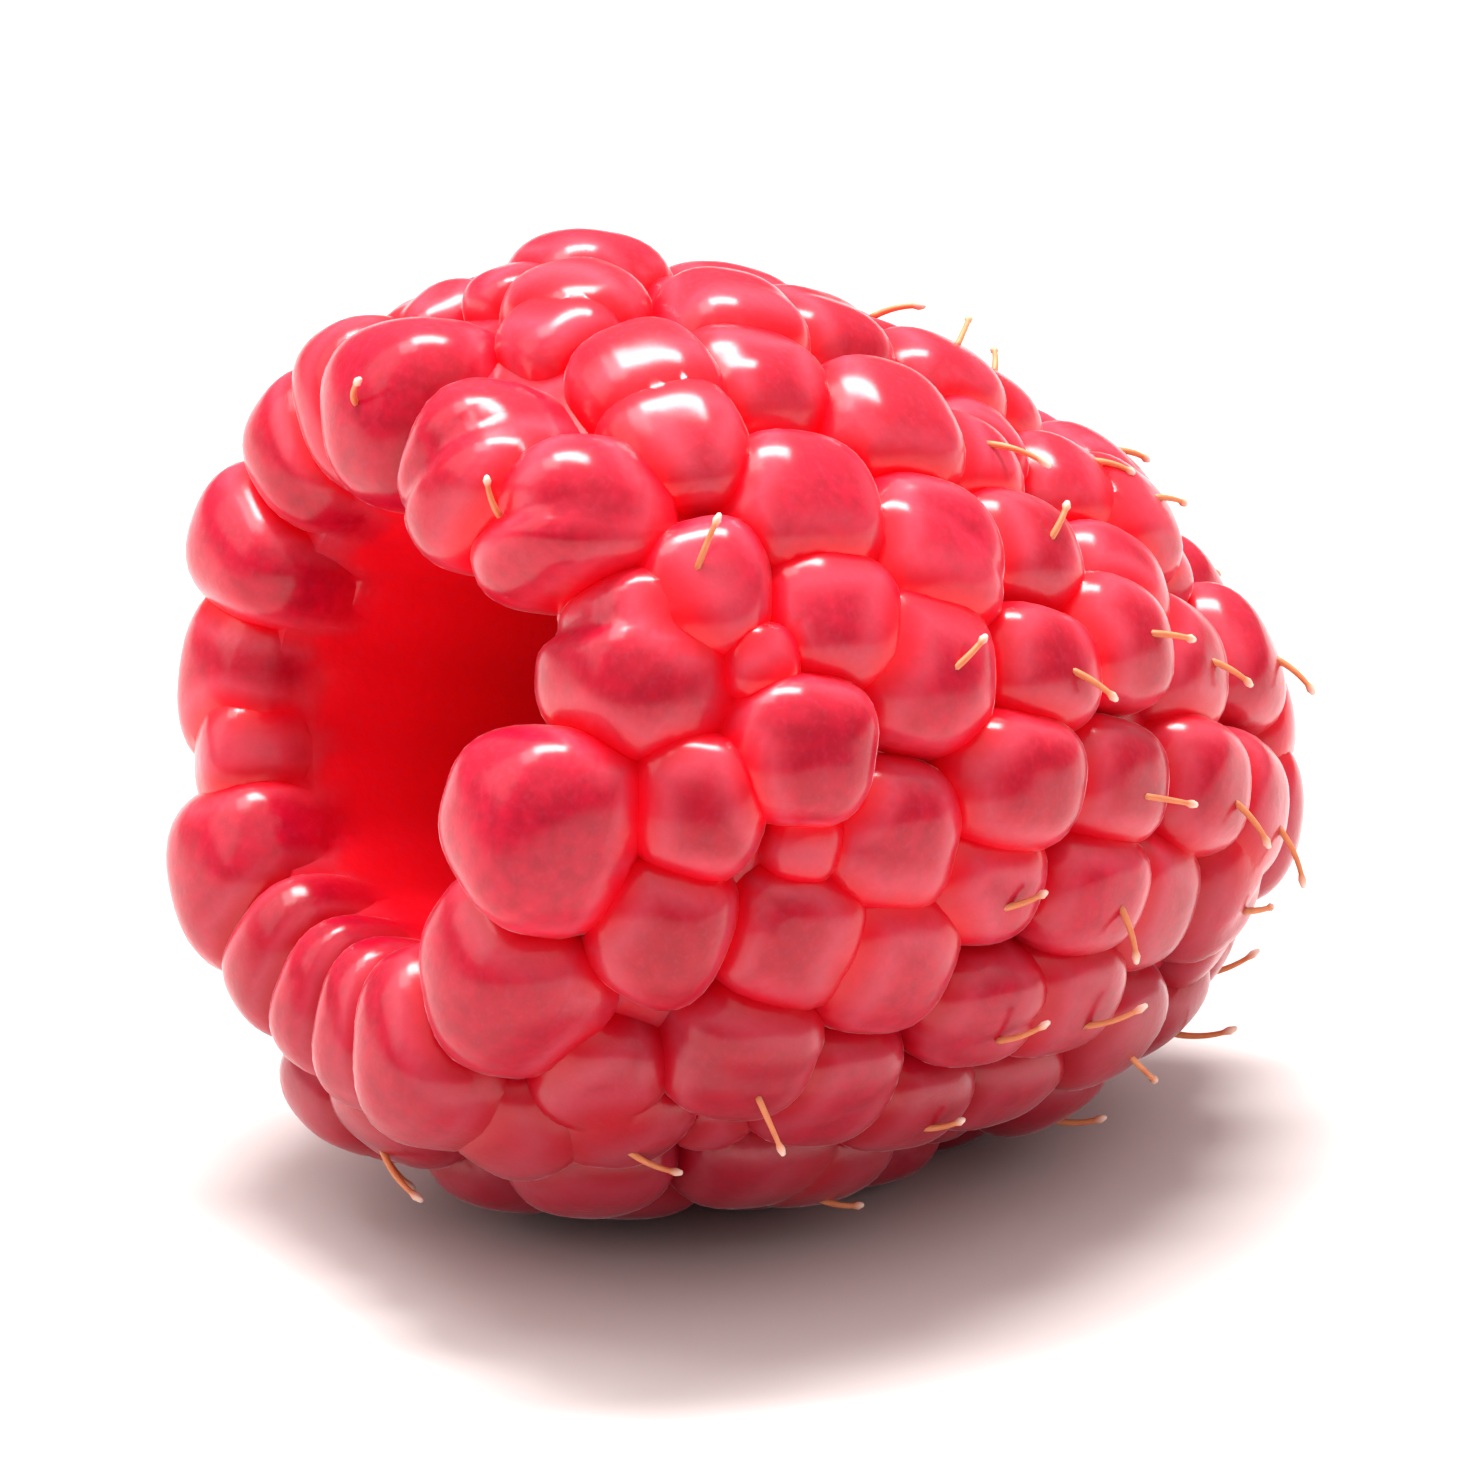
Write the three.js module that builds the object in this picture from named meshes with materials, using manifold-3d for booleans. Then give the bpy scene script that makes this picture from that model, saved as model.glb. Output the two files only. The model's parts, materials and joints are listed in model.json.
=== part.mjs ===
// A picked raspberry lying on its side: one aggregate fruit of about 150 juicy drupelets, grown together in rows
// round the hollow that the receptacle left when the fruit was pulled off. Millimetres and degrees, +Z up.
// The fruit's own axis runs from the mouth of the hollow (z = 0) to the tip, and then leans down to rest on its flank.
import * as THREE from "three";
import { mergeVertices } from "three/addons/utils/BufferGeometryUtils.js";
import Module from "manifold-3d";

// Driving dimensions of the whole fruit
const FRUIT_LENGTH = 23.9; // from the crest of the rim to the tip
const FRUIT_RADIUS = 10.6; // at the widest, over the tops of the drupelets
const WIDEST_AT = 0.22; // share of the length, from the rim
const TIP_FULLNESS = 0.58; // less is blunter
const RIM_CREST_RADIUS = 7.2; // circle on which the rim drupelets reach furthest forward
const LEAN = 17.2; // how far the tip dips below the level of the rim's centre

// The hollow
const HOLLOW_RADIUS = 4.7;
const HOLLOW_DEPTH = 15.5;
const HOLLOW_FRONT = 2.2; // where its wall turns outwards into the lip
const HOLLOW_RIBS = 15; // soft ribs down the wall, one for each rim drupelet
const HOLLOW_RIB_HEIGHT = 0.1;
const MOUTH_FLARE = 1.1; // how much wider the hollow would be in the plane of the rim
const MOUTH_FLARE_DEPTH = 5;
const LIP = [[5.45, 1.0], [7.0, 0.6], [8.5, 1.9]]; // radius and place along the axis, under the rim drupelets
const FLESH_DEPTH = 1.5; // from the drupelets' tops down to the flesh between their roots

// How the fruit lies: the soft drupelets below flatten by a hair's breadth where they carry its weight
const MIDDLE_HEIGHT = 8.88; // of the axis halfway along, over the surface
const MIDDLE_BACK = 1.28; // of the same point, behind the middle of the fruit's box
const MIDDLE_ASIDE = 0.12;

// Rows of drupelets from the rim to the tip: place along the axis, number in the row, the angle where the row
// starts, half its length along the fruit, how far it swells out of the flesh, how much of its share it fills
// across, and the seed of its irregularity
const ROWS = [
  { along: 2.4, count: 16, turn: -83, halfLength: 1.6, swell: 1.8, fill: 1, seed: 5700 },
  { along: 5, count: 19, turn: -80, halfLength: 1.85, swell: 2.1, fill: 1.14, seed: 16925 },
  { along: 8.2, count: 18, turn: -85, halfLength: 1.95, swell: 2.1, fill: 1.14, seed: 106 },
  { along: 11.1, count: 21, turn: -78.5, halfLength: 1.95, swell: 2.05, fill: 1.15, seed: 596 },
  { along: 14.1, count: 19, turn: -95, halfLength: 1.92, swell: 2, fill: 1.15, seed: 416 },
  { along: 16.9, count: 15, turn: -75.5, halfLength: 1.88, swell: 1.95, fill: 1.15, seed: 198 },
  { along: 20, count: 11, turn: -69.5, halfLength: 1.8, swell: 1.9, fill: 1.15, seed: 279 },
  { along: 22.3, count: 6, turn: -87, halfLength: 1.65, swell: 1.8, fill: 1.15, seed: 344 },
];
const TIP = { along: 24.0, halfWidth: 1.8, swell: 2.1 };

// Rim drupelets: plump kernels that wrap over the rim from the outside into the mouth
const RIM = { turn: -92.5, halfReach: 1.95, halfLength: 1.85, fill: 1.18 };
// Going round from the first: degrees from an even place, millimetres inwards from the crest circle and in front
// of the others, and size
const RIM_UNEVEN = [
  [-2.5, 0.35, 1.75, 1.1],
  [2, 0, 0.15, 1.08],
  [3.5, 0.25, 1.3, 1.12],
  [-1.5, 1.15, 1.9, 1.06],
  [16.5, 0.9, 1.2, 1.1],
  [12.5, 0.1, 0.5, 1.05],
  [5.5, 0, 0.35, 1],
  [3, 0.1, 0.4, 1.1],
  [2, 0.15, -0.1, 0.9],
  [13, 0.1, 0.2, 1.05],
  [11.5, 0.4, 0, 0.95],
  [4.5, 0.5, 0, 0.95],
  [-2.5, 0.3, 0.2, 1],
  [-8.5, -0.3, 0.6, 1.15],
  [-8.5, 0.1, 0.65, 1.1],
];

// Small late drupelets in the widest gaps: angle round the axis, place along it, and half width
const LATE = [
  [246, 20.2, 1.2],
  [337.5, 17.6, 1.2],
  [340.5, 11.8, 1.25],
  [216, 14.5, 1.05],
  [105, 17.3, 1.2],
  [177, 12.8, 1.1],
  [46.5, 14.6, 1.25],
];
const LATE_SINK = 0.55; // how much lower their tops lie

// Irregular growth in the rows
const TURN_SHIFT = 0.24; // share of the spacing in a row
const ALONG_SHIFT = 0.75;
const SIZE_SHIFT = 0.08;
const HEIGHT_SHIFT = 0.28;
const SHOULDER_SINK = 0.3; // how much lower the first row lies, between the rim and the second
const PLUMPNESS = 2.75; // 2 is an ellipsoid, more is a fuller body

// How finely each drupelet's surface is divided
const SIDES = 7;
const LATITUDES = [0, 34, 66, 98, 180];
const RIM_SIDES = 8;
const RIM_LATITUDES = [0, 30, 60, 90, 120, 180];
const LATE_SIDES = 6;
const LATE_LATITUDES = [0, 45, 85, 180];

const FRUIT_RED = "#c8102c";

const degrees = Math.PI / 180;

const wasm = await Module();
wasm.setup();

// A repeatable draw from -1 to 1 for the drupelet with this number
function draw(number, kind) {
  const wave = Math.sin(number * 12.9898 + kind * 78.233) * 43758.5453;
  return 2 * (wave - Math.floor(wave)) - 1;
}

// Radius of the smooth surface over the drupelets' tops, at a place along the axis
function envelope(along) {
  const share = along / FRUIT_LENGTH;
  if (share > WIDEST_AT) {
    const past = Math.min(1, (share - WIDEST_AT) / (1 - WIDEST_AT));
    return FRUIT_RADIUS * Math.pow(1 - past * past, TIP_FULLNESS);
  }
  const before = 1 - share / WIDEST_AT;
  return FRUIT_RADIUS - (FRUIT_RADIUS - RIM_CREST_RADIUS) * Math.pow(before, 3.8);
}

// Outward direction of that surface in the plane of the axis, as parts across and along the axis
function outward(along) {
  const step = 0.02;
  const slope = (envelope(along + step) - envelope(along - step)) / (2 * step);
  const length = Math.hypot(1, slope);
  return { across: 1 / length, along: -slope / length };
}

// Closed three.js geometry as a solid for joining and cutting
function solid(geometry) {
  const bare = geometry.clone();
  for (const name of Object.keys(bare.attributes)) if (name !== "position") bare.deleteAttribute(name);
  const merged = mergeVertices(bare, 1e-4);
  return new wasm.Manifold(
    new wasm.Mesh({
      numProp: 3,
      vertProperties: merged.attributes.position.array,
      triVerts: new Uint32Array(merged.index.array),
    }),
  );
}

// A solid as three.js geometry
function geometryOf(body) {
  const mesh = body.getMesh();
  const geometry = new THREE.BufferGeometry();
  geometry.setAttribute("position", new THREE.BufferAttribute(mesh.vertProperties, 3));
  geometry.setIndex(new THREE.BufferAttribute(mesh.triVerts, 1));
  return geometry;
}

// One drupelet: a plump body whose sides follow radial planes, so that it is wider outside than inside.
// place has the angle round the axis, the radius and place along the axis of its middle, its outward direction,
// and its half sizes outwards (swell), along the fruit (halfLength) and round it (halfWidth).
function drupelet(place, sides, latitudes) {
  const points = [];
  for (const latitude of latitudes) {
    const rim = Math.sin(latitude * degrees);
    const count = rim < 1e-9 ? 1 : sides;
    for (let side = 0; side < count; side++) {
      const around = ((side + 0.5 * (latitudes.indexOf(latitude) % 2)) * 2 * Math.PI) / sides;
      const out = Math.cos(latitude * degrees);
      const lengthwise = rim * Math.cos(around);
      const sidewise = rim * Math.sin(around);
      const norm = Math.pow(
        Math.abs(out) ** PLUMPNESS + Math.abs(lengthwise) ** PLUMPNESS + Math.abs(sidewise) ** PLUMPNESS,
        -1 / PLUMPNESS,
      );
      const rise = place.swell * out * norm;
      const run = place.halfLength * lengthwise * norm;
      const radius = place.radius + rise * place.out.across - run * place.out.along;
      const along = place.along + rise * place.out.along + run * place.out.across;
      const angle = place.angle * degrees + (place.halfWidth * sidewise * norm) / place.radius;
      points.push(radius * Math.sin(angle), radius * Math.cos(angle), along);
    }
  }
  return ringed(points, sides, latitudes.length, true);
}

// Closed surface through rings of points that start and end in a single point; with a twist, odd rings are half a
// step on, so that the triangles alternate
function ringed(points, sides, rings, twist = false) {
  const faces = [];
  const first = (ring) => (ring === 0 ? 0 : 1 + (ring - 1) * sides);
  const at = (ring, side) => first(ring) + (ring === 0 || ring === rings - 1 ? 0 : side % sides);
  for (let ring = 0; ring < rings - 1; ring++)
    for (let side = 0; side < sides; side++) {
      const [a, b] = [at(ring, side), at(ring, side + 1)];
      const [c, d] = [at(ring + 1, side), at(ring + 1, side + 1)];
      if (ring === 0) faces.push(a, d, c);
      else if (ring === rings - 2) faces.push(a, b, c);
      else if (twist && ring % 2) faces.push(a, b, d, a, d, c);
      else faces.push(a, b, c, b, d, c);
    }
  const geometry = new THREE.BufferGeometry();
  geometry.setAttribute("position", new THREE.Float32BufferAttribute(points, 3));
  geometry.setIndex(faces);
  const body = solid(geometry);
  if (body.volume() > 0) return body;
  const turned = [];
  for (let i = 0; i < faces.length; i += 3) turned.push(faces[i], faces[i + 2], faces[i + 1]);
  geometry.setIndex(turned);
  return solid(geometry);
}

// The drupelets of the rows between the shoulder and the tip
function rowDrupelets() {
  const bodies = [];
  for (const row of ROWS)
    for (let i = 1; i <= row.count; i++) {
      const spacing = 360 / row.count;
      const along = row.along + ALONG_SHIFT * draw(i, row.seed);
      const size = 1 + SIZE_SHIFT * draw(i, row.seed + 0.25);
      const out = outward(along);
      const swell = row.swell * size;
      const lift = HEIGHT_SHIFT * draw(i, row.seed + 0.75) - (row === ROWS[0] ? SHOULDER_SINK : 0);
      const radius = envelope(along) - swell * out.across + lift;
      const place = {
        angle: row.turn + spacing * (i - 1 + TURN_SHIFT * draw(i, row.seed + 0.5)),
        radius,
        along: along - swell * out.along,
        out,
        swell,
        halfLength: row.halfLength * size,
        halfWidth: row.fill * size * (Math.PI / row.count) * radius,
      };
      bodies.push(drupelet(place, SIDES, LATITUDES));
    }
  return bodies;
}

// The rim drupelets, each as wide as the room between its neighbours
function rimDrupelets() {
  const count = RIM_UNEVEN.length;
  const angleOf = (i) => {
    const turns = Math.floor(i / count);
    const [shift] = RIM_UNEVEN[i - turns * count];
    return RIM.turn + (i * 360) / count + shift;
  };
  return RIM_UNEVEN.map(([, inward, forward, size], i) => {
    const room = ((angleOf(i + 1) - angleOf(i - 1)) / 2) * degrees;
    const radius = RIM_CREST_RADIUS - inward;
    const place = {
      angle: angleOf(i),
      radius,
      along: RIM.halfLength * size - forward,
      out: { across: 0, along: -1 },
      swell: RIM.halfLength * size,
      halfLength: RIM.halfReach * size,
      halfWidth: (RIM.fill * room * radius) / 2,
    };
    return drupelet(place, RIM_SIDES, RIM_LATITUDES);
  });
}

// The late drupelets, as round as they are high
function lateDrupelets() {
  return LATE.map(([angle, along, half]) => {
    const out = outward(along);
    const place = {
      angle,
      radius: envelope(along) - half * out.across - LATE_SINK,
      along: along - half * out.along,
      out,
      swell: half,
      halfLength: half,
      halfWidth: half,
    };
    return drupelet(place, LATE_SIDES, LATE_LATITUDES);
  });
}

// The single drupelet at the tip
function tipDrupelet() {
  const body = new THREE.SphereGeometry(1, 10, 8);
  body.rotateX(Math.PI / 2);
  body.scale(TIP.halfWidth, TIP.halfWidth, TIP.swell);
  body.translate(0, 0, TIP.along - TIP.swell);
  return solid(body);
}

// Radius of the hollow at a depth behind the rim: a thimble that flares towards its mouth
function hollowRadius(along) {
  const thimble = HOLLOW_RADIUS * Math.pow(Math.max(0, 1 - Math.pow(along / HOLLOW_DEPTH, 2.2)), 0.55);
  return thimble + MOUTH_FLARE * Math.max(0, 1 - along / MOUTH_FLARE_DEPTH) ** 2;
}

// The thimble of flesh that joins the drupelets: its outside lies under them, its inside is the hollow's wall
function core() {
  const sides = 24;
  const inside = [15.2, 14.2, 12.2, 9.8, 7, 4.4, HOLLOW_FRONT];
  const outside = [4.2, 8, 12, 15.5, 18.7, 21.4];
  const points = [0, 0, HOLLOW_DEPTH];
  const ring = (radiusAt, along) => {
    for (let side = 0; side < sides; side++) {
      const angle = (side * 2 * Math.PI) / sides;
      const radius = radiusAt(angle);
      points.push(radius * Math.sin(angle), radius * Math.cos(angle), along);
    }
  };
  for (const along of inside) {
    const fade = 1 - along / HOLLOW_DEPTH;
    const rib = (angle) => HOLLOW_RIB_HEIGHT * fade * Math.cos(HOLLOW_RIBS * (angle - RIM.turn * degrees));
    ring((angle) => hollowRadius(along) - rib(angle), along);
  }
  for (const [radius, along] of LIP) ring(() => radius, along);
  for (const along of outside) ring(() => envelope(along) - FLESH_DEPTH, along);
  points.push(0, 0, FRUIT_LENGTH - FLESH_DEPTH);
  return ringed(points, sides, inside.length + LIP.length + outside.length + 2);
}

// The whole fruit in the frame of its own axis, its flesh filled where roots close small pockets between them
function fruit() {
  const grown = [...rimDrupelets(), ...rowDrupelets(), ...lateDrupelets(), tipDrupelet()];
  const joined = wasm.Manifold.union([core(), ...grown]);
  return joined.decompose().reduce((most, body) => (body.volume() > most.volume() ? body : most));
}

// Everything below the surface, where the lowest drupelets flatten
function belowSurface() {
  const box = new THREE.BoxGeometry(60, 60, 20);
  box.translate(0, 0, -10);
  return solid(box);
}

const geometry = geometryOf(fruit());
const lie = new THREE.Matrix4().makeBasis(
  new THREE.Vector3(-1, 0, 0),
  new THREE.Vector3(0, Math.sin(LEAN * degrees), Math.cos(LEAN * degrees)),
  new THREE.Vector3(0, Math.cos(LEAN * degrees), -Math.sin(LEAN * degrees)),
);
geometry.translate(0, 0, -FRUIT_LENGTH / 2);
geometry.applyMatrix4(lie);
geometry.translate(MIDDLE_ASIDE, MIDDLE_BACK, MIDDLE_HEIGHT);

const raspberry = new THREE.Group();
const mesh = new THREE.Mesh(
  geometryOf(solid(geometry).subtract(belowSurface())),
  new THREE.MeshStandardMaterial({ color: FRUIT_RED, roughness: 0.38, metalness: 0 }),
);
mesh.name = "fruit";
raspberry.add(mesh);

export default raspberry;
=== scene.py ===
"""A picked raspberry lying on its side on a pale surface, dressed round its plain solid.

The fruit is one aggregate fruit: plump drupelets in rows, grown together round the hollow that the receptacle
left when the fruit was pulled off, with the dried styles of the flower still standing on many of them.
"""

import json
import math

import bmesh
import bpy
import numpy as np
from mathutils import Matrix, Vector

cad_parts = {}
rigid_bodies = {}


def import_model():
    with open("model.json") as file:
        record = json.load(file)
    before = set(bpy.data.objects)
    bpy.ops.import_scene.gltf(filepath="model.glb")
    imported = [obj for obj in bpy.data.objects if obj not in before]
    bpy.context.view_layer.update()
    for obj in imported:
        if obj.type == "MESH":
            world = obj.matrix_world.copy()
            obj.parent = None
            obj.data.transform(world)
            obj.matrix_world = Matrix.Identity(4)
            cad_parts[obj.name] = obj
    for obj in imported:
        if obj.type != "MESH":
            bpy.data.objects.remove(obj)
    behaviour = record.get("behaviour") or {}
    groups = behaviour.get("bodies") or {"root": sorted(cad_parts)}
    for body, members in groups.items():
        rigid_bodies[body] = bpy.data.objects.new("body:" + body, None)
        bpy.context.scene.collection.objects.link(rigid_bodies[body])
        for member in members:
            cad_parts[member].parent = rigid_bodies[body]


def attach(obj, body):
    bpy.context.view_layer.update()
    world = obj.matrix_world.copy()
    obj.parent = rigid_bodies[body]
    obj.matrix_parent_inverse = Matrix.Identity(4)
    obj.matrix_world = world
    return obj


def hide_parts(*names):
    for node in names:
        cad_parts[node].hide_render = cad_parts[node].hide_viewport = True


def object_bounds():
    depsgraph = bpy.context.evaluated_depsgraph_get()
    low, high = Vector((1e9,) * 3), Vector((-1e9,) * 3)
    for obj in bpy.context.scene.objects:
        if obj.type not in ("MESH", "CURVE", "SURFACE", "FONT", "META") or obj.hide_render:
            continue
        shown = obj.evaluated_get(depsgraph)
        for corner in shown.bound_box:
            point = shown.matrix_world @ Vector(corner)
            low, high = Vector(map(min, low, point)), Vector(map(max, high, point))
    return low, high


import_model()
cad_box = [list(corner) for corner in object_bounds()]


# The fruit. A ripe raspberry is about 150 juicy drupelets, each a thin skin round soft flesh and a pip. They
# are joined at their roots into a thimble of flesh, in uneven rows from the rim to the tip. Those of the rim
# wrap round it into the mouth of the hollow.

# in the frame of the fruit's own axis, in millimetres: the mouth is at 0 and the tip at FRUIT_LENGTH
MM = 0.001
FRUIT_LENGTH = 23.9
FRUIT_RADIUS = 10.6
WIDEST_AT = 0.22
TIP_FULLNESS = 0.58
RIM_CREST_RADIUS = 7.2
SHOULDER_ROUNDNESS = 3.8
LEAN = math.radians(17.2)
MIDDLE = np.array([0.12, 1.28, 8.88])
HOLLOW_RADIUS = 4.7
HOLLOW_DEPTH = 15.5
HOLLOW_FRONT = 2.2
HOLLOW_RIBS = 15
HOLLOW_RIB_HEIGHT = 0.1
MOUTH_FLARE, MOUTH_FLARE_DEPTH = 1.1, 5
LIP = [(5.45, 1.0), (7.0, 0.6), (8.5, 1.9)]
FLESH_DEPTH = 1.5

# along the axis, number, first angle, half length, swell, share filled across, seed of the row's irregularity
ROWS = [
    (2.4, 16, -83, 1.6, 1.8, 1, 5700),
    (5, 19, -80, 1.85, 2.1, 1.14, 16925),
    (8.2, 18, -85, 1.95, 2.1, 1.14, 106),
    (11.1, 21, -78.5, 1.95, 2.05, 1.15, 596),
    (14.1, 19, -95, 1.92, 2, 1.15, 416),
    (16.9, 15, -75.5, 1.88, 1.95, 1.15, 198),
    (20, 11, -69.5, 1.8, 1.9, 1.15, 279),
    (22.3, 6, -87, 1.65, 1.8, 1.15, 344),
]
RIM_TURN, RIM_REACH, RIM_LENGTH, RIM_FILL = -92.5, 1.95, 1.85, 1.18
# degrees from an even place, millimetres inwards and in front of the others, and size, going round the rim
RIM_UNEVEN = [
    (-2.5, 0.35, 1.75, 1.1),
    (2, 0, 0.15, 1.08),
    (3.5, 0.25, 1.3, 1.12),
    (-1.5, 1.15, 1.9, 1.06),
    (16.5, 0.9, 1.2, 1.1),
    (12.5, 0.1, 0.5, 1.05),
    (5.5, 0, 0.35, 1),
    (3, 0.1, 0.4, 1.1),
    (2, 0.15, -0.1, 0.9),
    (13, 0.1, 0.2, 1.05),
    (11.5, 0.4, 0, 0.95),
    (4.5, 0.5, 0, 0.95),
    (-2.5, 0.3, 0.2, 1),
    (-8.5, -0.3, 0.6, 1.15),
    (-8.5, 0.1, 0.65, 1.1),
]
# small late drupelets squeezed into the gaps: degrees round the axis, place along it, and half width. The
# plain solid holds only the first seven.
LATE = [
    (246, 20.2, 1.2),
    (337.5, 17.6, 1.2),
    (340.5, 11.8, 1.25),
    (216, 14.5, 1.05),
    (105, 17.3, 1.2),
    (177, 12.8, 1.1),
    (46.5, 14.6, 1.25),
    (154.5, 3.4, 1.1),
    (271.5, 5.1, 0.9),
    (18, 2.5, 1.05),
    (6, 6.2, 1.05),
    (225, 6.7, 0.95),
    (177, 18.2, 1.05),
    (359, 1.5, 1.35),
    (116.5, 0.2, 1.4),
    (32.5, 16.3, 1.1),
    (14, 12.1, 1.0),
    (5.8, 14.6, 0.8),
    (359.5, 18.2, 1.05),
    (294, 3.4, 0.9),
]
LATE_SINK = 0.55
TIP_ALONG, TIP_WIDTH, TIP_SWELL = 24.0, 1.8, 2.1
# how uneven the rows are: share of the step round the axis, millimetres along it, share of the size, and
# millimetres of height
TURN_SHIFT, ALONG_SHIFT, SIZE_SHIFT, HEIGHT_SHIFT = 0.24, 0.75, 0.08, 0.28
SHOULDER_SINK = 0.3
PLUMPNESS = 2.75
NUMBER_STEP, KIND_STEP, STRETCH = 12.9898, 78.233, 43758.5453


def draw(number, kind):
    """A repeatable draw from -1 to 1: the part after the point of a large sine, doubled and centred."""
    wave = np.sin(np.asarray(number, float) * NUMBER_STEP + kind * KIND_STEP) * STRETCH
    return 2 * (wave - np.floor(wave)) - 1


def envelope(along):
    """Radius over the drupelets' tops: a cone that rounds off to the tip behind the widest place, and a round
    shoulder in front of it, which falls with a power of the distance.
    """
    share = np.asarray(along, float) / FRUIT_LENGTH
    past = np.clip((share - WIDEST_AT) / (1 - WIDEST_AT), 0, 1)
    before = np.clip(1 - share / WIDEST_AT, 0, None)
    cone = FRUIT_RADIUS * (1 - past**2) ** TIP_FULLNESS
    shoulder = FRUIT_RADIUS - (FRUIT_RADIUS - RIM_CREST_RADIUS) * before**SHOULDER_ROUNDNESS
    return np.where(share > WIDEST_AT, cone, shoulder)


def outward(along):
    """Outward direction of the envelope in the plane of the axis: its normal, from its slope over a step."""
    step = 0.02
    slope = (envelope(along + step) - envelope(along - step)) / (2 * step)
    length = np.hypot(1, slope)
    return 1 / length, -slope / length


def drupelet_places():
    """One row for each drupelet: angle, radius, place along the axis, the two parts of its outward direction,
    swell, half length and half width.

    Those of the rim point at the camera side, along the axis. Those of the rows stand on the envelope, evenly
    spread round the axis but for the draws. The late ones lie a little below it.
    """
    places = []
    rim = len(RIM_UNEVEN)
    turns = np.array([RIM_TURN + i * 360 / rim + uneven[0] for i, uneven in enumerate(RIM_UNEVEN)])
    room = np.radians(np.append(turns[1:], turns[0] + 360) - np.append(turns[-1] - 360, turns[:-1])) / 2
    for i, (_, inward, forward, size) in enumerate(RIM_UNEVEN):
        crest = RIM_CREST_RADIUS - inward
        places.append(
            (math.radians(turns[i]), crest, RIM_LENGTH * size - forward, 0, -1)
            + (RIM_LENGTH * size, RIM_REACH * size, RIM_FILL * room[i] * crest / 2)
        )
    for along, count, turn, half_length, swell, fill, seed in ROWS:
        i = np.arange(1, count + 1)
        place = along + ALONG_SHIFT * draw(i, seed)
        size = 1 + SIZE_SHIFT * draw(i, seed + 0.25)
        across, down = outward(place)
        lift = HEIGHT_SHIFT * draw(i, seed + 0.75) - (SHOULDER_SINK if along == ROWS[0][0] else 0)
        radius = envelope(place) - swell * size * across + lift
        angle = np.radians(turn + 360 / count * (i - 1 + TURN_SHIFT * draw(i, seed + 0.5)))
        half_width = fill * size * math.pi / count * radius
        centre = (angle, radius, place - swell * size * down, across, down)
        places.extend(zip(*centre, swell * size, half_length * size, half_width))
    for degrees, along, half in LATE:
        across, down = outward(along)
        radius = envelope(along) - half * across - LATE_SINK
        places.append((math.radians(degrees), radius, along - half * down, across, down, half, half, half))
    return np.array(places)


def into_row(points):
    """From the fruit's own frame to the row's: laid on its side, with the tip leaning down, in metres."""
    x, y, z = points[..., 0], points[..., 1], points[..., 2] - FRUIT_LENGTH / 2
    forward = math.sin(LEAN) * y + math.cos(LEAN) * z
    up = math.cos(LEAN) * y - math.sin(LEAN) * z
    return (np.stack([-x, forward, up], -1) + MIDDLE) * MM


def grid_faces(rings, sides):
    """Faces of a surface of rings of points that starts and ends in one point, as quads between triangles."""
    side = np.arange(sides)
    following = (side + 1) % sides
    first = np.stack([np.zeros(sides, int), 1 + following, 1 + side], 1)
    base = 1 + np.arange(rings - 3)[:, None] * sides
    quads = np.stack([base + side, base + following, base + sides + following, base + sides + side], -1)
    last = 1 + (rings - 3) * sides
    end = np.stack([last + side, last + following, np.full(sides, last + sides)], 1)
    return [*first.tolist(), *quads.reshape(-1, 4).tolist(), *end.tolist()]


def new_mesh(name, points, faces):
    """A mesh object at the origin from points in metres, its faces turned outwards."""
    mesh = bpy.data.meshes.new(name)
    mesh.from_pydata(points.reshape(-1, 3).tolist(), [], faces)
    mesh.update()
    corners = np.zeros(len(mesh.vertices) * 3)
    mesh.vertices.foreach_get("co", corners)
    corners = corners.reshape(-1, 3)
    mesh.calc_loop_triangles()
    triangles = np.zeros(len(mesh.loop_triangles) * 3, int)
    mesh.loop_triangles.foreach_get("vertices", triangles)
    a, b, c = corners[triangles.reshape(-1, 3).T]
    if np.einsum("ij,ij->i", a, np.cross(b, c)).sum() < 0:
        mesh.flip_normals()
    return bpy.data.objects.new(name, mesh)


DRUPELET_SIDES, DRUPELET_RINGS = 36, 20
TOP_LATITUDE = 100  # degrees from the top: the rings are even down to here
ROOT_LATITUDES = [118, 145, 180]
WAVE_HEIGHTS = [(2, 0.02, 1), (3, 0.014, -2)]  # waves round a drupelet, height as a share, turns of phase
SHALLOW_FOLD, FOLDED_SHARE = 0.1, 0.45
FOLD_HALF_WIDTH = 0.17
# folds of the rim drupelets that show them: depth, place across and slant, by number
RIM_FOLDS = {1: (0.13, 0.42, 0.1), 2: (0.1, 0.12, 0.5), 3: (0.09, 0.15, 0.3)}


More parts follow.
